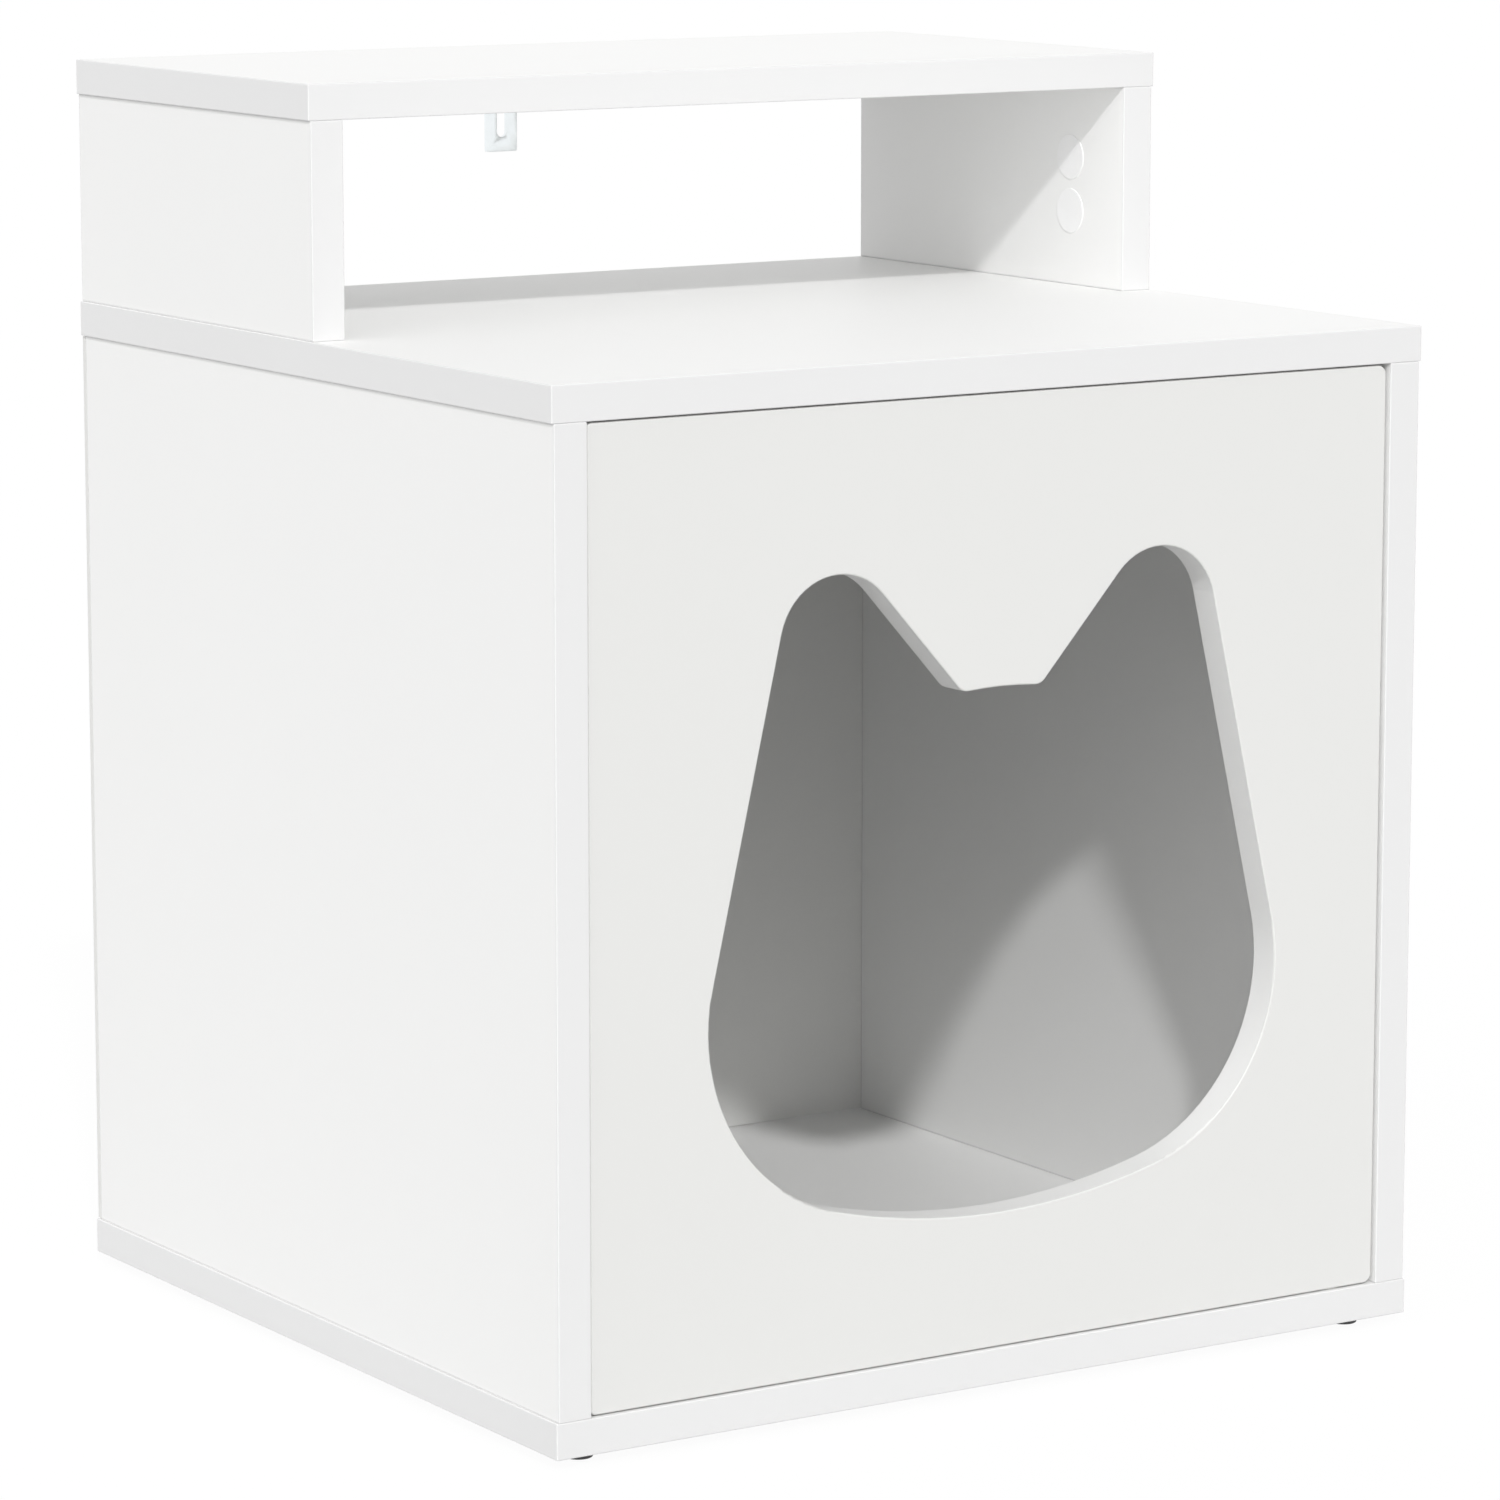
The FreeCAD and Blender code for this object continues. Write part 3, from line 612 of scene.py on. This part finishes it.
def pan_head(radius):
    """A domed head that stands on the origin, facing up, with its shank's foot marked below."""
    height = PAN_HEIGHT * radius
    head = start(bpy.ops.mesh.primitive_cone_add, vertices=SIDES, radius1=HEAD_RADIUS * radius,
                 radius2=PAN_TOP_RADIUS * radius, depth=height, location=(0, 0, height / 2))
    pick(head, "EDGE", lambda edge: middle_of(edge).z > height - NEAR)
    bpy.ops.mesh.bevel(offset=PAN_ROUND * radius, segments=4, affect="EDGES")
    pick(head, "FACE", lambda face: face.normal.z < -SQUARELY)
    bpy.ops.mesh.inset(thickness=(HEAD_RADIUS - 1) * radius)
    put_down()
    return head


def screw(radius, length, head):
    """A chipboard screw: a head with a cross recess, a threaded shank and a point."""
    made = {"countersunk": countersunk_head, "pan": pan_head}[head](radius)
    head_top = 0.0 if head == "countersunk" else PAN_HEIGHT * radius
    shank_top = -radius if head == "countersunk" else 0.0
    cut_out(made, cross_bit(radius, head_top))

    thread_end = -length + POINT_LENGTH * radius
    pick(made, "FACE", lambda face: face.normal.z < -SQUARELY
         and abs(face.calc_center_median().z - shank_top) < NEAR
         and all(point.co.xy.length < 1.01 * radius for point in face.verts))
    extrude(0, 0, thread_end - shank_top)
    extrude(0, 0, -POINT_LENGTH * radius)
    bpy.ops.transform.resize(value=(POINT_TIP, POINT_TIP, 1.0), center_override=(0, 0, -length))

    pitch = THREAD_PITCH * radius
    rings = round((shank_top - thread_end) / pitch * THREAD_RINGS)
    pick(made, "EDGE", lambda edge: runs_along(edge, 2)
         and abs(middle_of(edge).z - (shank_top + thread_end) / 2) < NEAR)
    bpy.ops.mesh.subdivide(number_cuts=rings)
    mesh = bmesh.from_edit_mesh(made.data)
    for point in mesh.verts:
        if thread_end + NEAR < point.co.z < shank_top - NEAR:
            turn = math.atan2(point.co.y, point.co.x) / math.tau
            ridge = 1 - 2 * abs((point.co.z / pitch - turn) % 1.0 - 0.5)
            point.co.xy *= THREAD_ROOT + (1 - THREAD_ROOT) * ridge
    bmesh.update_edit_mesh(made.data)
    put_down()
    smooth(made)
    return made


def fit_screws():
    for node, (radius, length, head, facing, counts) in SCREWS.items():
        way = WAYS[facing]
        low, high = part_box(node)
        lift = PAN_HEIGHT * radius if head == "pan" else 0.0
        axis = "xyz".index(facing[1])
        seat = (low if facing[0] == "-" else high)[axis] - way[axis] * lift
        places = []
        for spot in spots(node, counts, [HEAD_RADIUS * radius] * 3):
            spot[axis] = seat
            places.append((spot, way))
        body = "door" if node.startswith("strike") else "cabinet"
        fit_copies(screw(radius, length, head), node.rstrip("s"), places, node, "zinc_steel", body)


def foot():
    """A low round glide that stands on the origin, with a recess for its nail."""
    low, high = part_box("feet")
    height = high.z - low.z
    glide = start(bpy.ops.mesh.primitive_cylinder_add, vertices=FOOT_SIDES, radius=FOOT_RADIUS,
                  depth=height, location=(0, 0, height / 2))
    pick(glide, "FACE", lambda face: face.normal.z < -SQUARELY)
    bpy.ops.mesh.inset(thickness=FOOT_RADIUS - FOOT_RECESS_RADIUS)
    extrude(0, 0, FOOT_RECESS_DEPTH)
    pick(glide, "EDGE", lambda edge: middle_of(edge).z < NEAR
         and middle_of(edge).length > FOOT_RADIUS - FOOT_CHAMFER)
    bpy.ops.mesh.bevel(offset=FOOT_CHAMFER, segments=4, affect="EDGES")
    put_down()
    cut_out(glide, hole_tool((0, 0, height / 2), FOOT_NAIL_HOLE, 2 * height))
    soften(glide, FOOT_EDGE)
    return glide


def fit_feet():
    places = []
    for spot in spots("feet", (2, 2, 1), (FOOT_RADIUS, FOOT_RADIUS, 0.0)):
        spot.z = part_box("feet")[0].z
        places.append((spot, WAYS["+z"]))
    fit_copies(foot(), "foot", places, "feet", "foot_plastic")


def fit_wall_bracket():
    """A strip bent to an angle, with a slot for a wall screw and two holes for its own."""
    low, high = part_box("wall_bracket")
    half = BRACKET_PLATE / 2
    back, top = high.y - half, high.z - half
    bend_y, bend_z = back - BRACKET_BEND, top - BRACKET_BEND
    width = high.x - low.x
    strip = start(bpy.ops.mesh.primitive_plane_add, size=width, rotation=(math.pi / 2, 0, 0),
                  location=(0, back, low.z + width / 2))
    pick(strip, "EDGE", lambda edge: middle_of(edge).z > low.z + width - NEAR)
    extrude(0, 0, bend_z - low.z - width)
    quarter = math.pi / 2
    for step in range(BRACKET_BEND_STEPS):
        before, after = (quarter * (step + part) / BRACKET_BEND_STEPS for part in (0, 1))
        extrude(0, BRACKET_BEND * (math.cos(after) - math.cos(before)),
                BRACKET_BEND * (math.sin(after) - math.sin(before)))
    extrude(0, low.y - bend_y, 0)
    bpy.ops.mesh.select_all(action="SELECT")
    bpy.ops.mesh.remove_doubles(threshold=NEAR)
    bpy.ops.mesh.normals_make_consistent(inside=False)
    put_down()
    wall = strip.modifiers.new("plate", "SOLIDIFY")
    wall.thickness = BRACKET_PLATE
    wall.offset = 0.0
    wall.use_even_offset = True
    bpy.ops.object.modifier_apply(modifier=wall.name)
    pick(strip, "EDGE", lambda edge: runs_along(edge, 1) and middle_of(edge).z < low.z + half)
    bpy.ops.mesh.bevel(offset=BRACKET_CORNER, segments=4, affect="EDGES")
    put_down()

    slot_width, slot_length = BRACKET_SLOT
    slot_low = low.z + BRACKET_SLOT_RISE
    slot = start_block((-slot_width / 2, back - 3 * half, slot_low),
                       (slot_width / 2, back + 3 * half, slot_low + slot_length))
    pick(slot, "EDGE", lambda edge: runs_along(edge, 1))
    bpy.ops.mesh.bevel(offset=BRACKET_SLOT_ROUND * slot_width, segments=10, affect="EDGES")
    put_down()
    cut_out(strip, slot)
    radius = SCREWS["bracket_screws"][0]
    for spot in spots("bracket_screws", (1, 2, 1), [HEAD_RADIUS * radius] * 3):
        cut_out(strip, hole_tool((0, spot.y, top), radius + HOLE_CLEARANCE, 4 * BRACKET_PLATE))
    soften(strip, BRACKET_EDGE)
    fit(strip, "wall_bracket_plate", "wall_bracket", "zinc_plate")


def fit_catch_case():
    """A moulded case with two screw ears and a pocket for the magnet, open at the front."""
    low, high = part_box("catch_case")
    middle = (low.x + high.x) / 2
    ear_low = high.z - CATCH_EAR_HEIGHT
    half = CATCH_BODY_LENGTH / 2
    case = start_block((middle - half, low.y, low.z), (middle + half, high.y, high.z))
    pick(case, "FACE", lambda face: True)
    bpy.ops.mesh.bisect(plane_co=(0, 0, ear_low), plane_no=(0, 0, 1))
    pick(case, "FACE", lambda face: abs(face.normal.x) > SQUARELY
         and face.calc_center_median().z > ear_low)
    ear = (high.x - low.x) / 2 - half
    bpy.ops.mesh.extrude_faces_move(TRANSFORM_OT_shrink_fatten={"value": ear})
    pick(case, "EDGE", lambda edge: runs_along(edge, 2)
         and abs(middle_of(edge).x - middle) > half + CATCH_EAR_ROUND)
    bpy.ops.mesh.bevel(offset=CATCH_EAR_ROUND, segments=6, affect="EDGES")
    put_down()

    seat_low, seat_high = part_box("catch_pole_plates")
    cut_out(case, start_block((seat_low.x, low.y - CATCH_MOUTH, seat_low.z), seat_high))
    radius = SCREWS["catch_screws"][0]
    for spot in spots("catch_screws", (2, 1, 1), [HEAD_RADIUS * radius] * 3):
        place = (spot.x, spot.y, (ear_low + high.z) / 2)
        cut_out(case, hole_tool(place, radius + HOLE_CLEARANCE, 4 * CATCH_EAR_HEIGHT))
    soften(case, CATCH_EDGE, 3)
    fit(case, "catch_moulding", "catch_case", "catch_plastic")


def fit_strike_plate():
    """A small steel plate on the door's back, with a countersunk hole at its middle."""
    low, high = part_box("strike_plate")
    plate = start_block(low, high)
    pick(plate, "EDGE", lambda edge: runs_along(edge, 1))
    bpy.ops.mesh.bevel(offset=STRIKE_ROUND, segments=6, affect="EDGES")
    put_down()
    radius = SCREWS["strike_screw"][0]
    sink = radius + HOLE_CLEARANCE
    spot = ((low.x + high.x) / 2, high.y - sink / 2, (low.z + high.z) / 2)
    tool = start(bpy.ops.mesh.primitive_cone_add, vertices=SIDES, radius1=HEAD_RADIUS * sink,
                 radius2=sink, depth=sink, rotation=(math.pi / 2, 0, 0), location=spot)
    cut_out(plate, tool)
    cut_out(plate, hole_tool(spot, sink, 4 * (high.y - low.y), "y"))
    soften(plate, STRIKE_EDGE)
    fit(plate, "strike_plate_blank", "strike_plate", "zinc_plate", "door")


def make_camera():
    data = bpy.data.cameras.new("photo_camera")
    data.lens = CAMERA_LENS
    data.sensor_width = CAMERA_SENSOR
    data.clip_start = CAMERA_NEAR
    data.clip_end = CAMERA_FAR
    camera = bpy.data.objects.new("photo_camera", data)
    camera.location = CAMERA_PLACE
    camera.rotation_euler = (math.pi / 2 - CAMERA_DOWN, 0.0, -CAMERA_RIGHT)
    bpy.context.scene.collection.objects.link(camera)
    bpy.context.scene.camera = camera


def make_lamp():
    """One soft lamp at the front left, above the eye."""
    lamp = bpy.data.lights.new("front_left_lamp", "SUN")
    lamp.energy = LAMP_STRENGTH
    lamp.angle = LAMP_ANGLE
    holder = bpy.data.objects.new("front_left_lamp", lamp)
    holder.rotation_euler = LAMP_TRAVEL.to_track_quat("-Z", "Y").to_euler()
    bpy.context.scene.collection.objects.link(holder)


def make_room():
    """A white studio with broad screens: two front left, one overhead and one rear right."""
    world = bpy.data.worlds.new("studio_room")
    bpy.context.scene.world = world
    room = Finish(world)
    way = room.node("ShaderNodeTexCoord", output="Generated")
    light = ROOM_LIGHT
    for screen_way, narrowness, strength in SCREENS:
        sockets = {0: way, 1: screen_way}
        facing = room.node("ShaderNodeVectorMath", {"operation": "DOT_PRODUCT"}, sockets, "Value")
        light = light + strength * facing.most(0.0) ** narrowness
    lit = room.node("ShaderNodeBackground", inputs={"Color": WHITE, "Strength": light})
    white = room.node("ShaderNodeBackground", inputs={"Color": WHITE, "Strength": 1.0})
    mix = room.node("ShaderNodeMixShader", inputs={0: room.seen_directly(), 1: lit, 2: white})
    room.node("ShaderNodeOutputWorld", inputs={"Surface": mix})


def make_floor():
    bpy.ops.object.select_all(action="DESELECT")
    bpy.ops.mesh.primitive_plane_add(size=FLOOR_SIZE)
    floor = bpy.context.active_object
    floor.name = "studio_floor"
    finish = new_finish("studio_floor")
    seen = finish.seen_directly()
    grey, pale = ((level, level, level) for level in (FLOOR_GREY, FLOOR_SEEN))
    matt = finish.node("ShaderNodeBsdfDiffuse", inputs={"Color": finish.tint(seen, grey, pale)})
    white = finish.node("ShaderNodeEmission", inputs={"Color": WHITE, "Strength": 1.0})
    mix = finish.node("ShaderNodeMixShader", inputs={0: seen * FLOOR_GLOW, 1: matt, 2: white})
    finish.node("ShaderNodeOutputMaterial", inputs={"Surface": mix})
    floor.data.materials.append(finish.owner)


for board_name, thin in BOARDS.items():
    dress(board_name, faced_board(board_name, thin))
dress("door_panel", lacquered_door())
dress("back_panel", painted_hardboard())
for finish_name, node_names in KEPT.items():
    for node_name in node_names:
        dress(node_name, FINISHES[finish_name])

fit_cam_covers()
fit_screws()
fit_feet()
fit_wall_bracket()
fit_catch_case()
fit_strike_plate()

make_floor()
make_lamp()
make_room()
make_camera()
bpy.context.scene.view_settings.view_transform = "Standard"
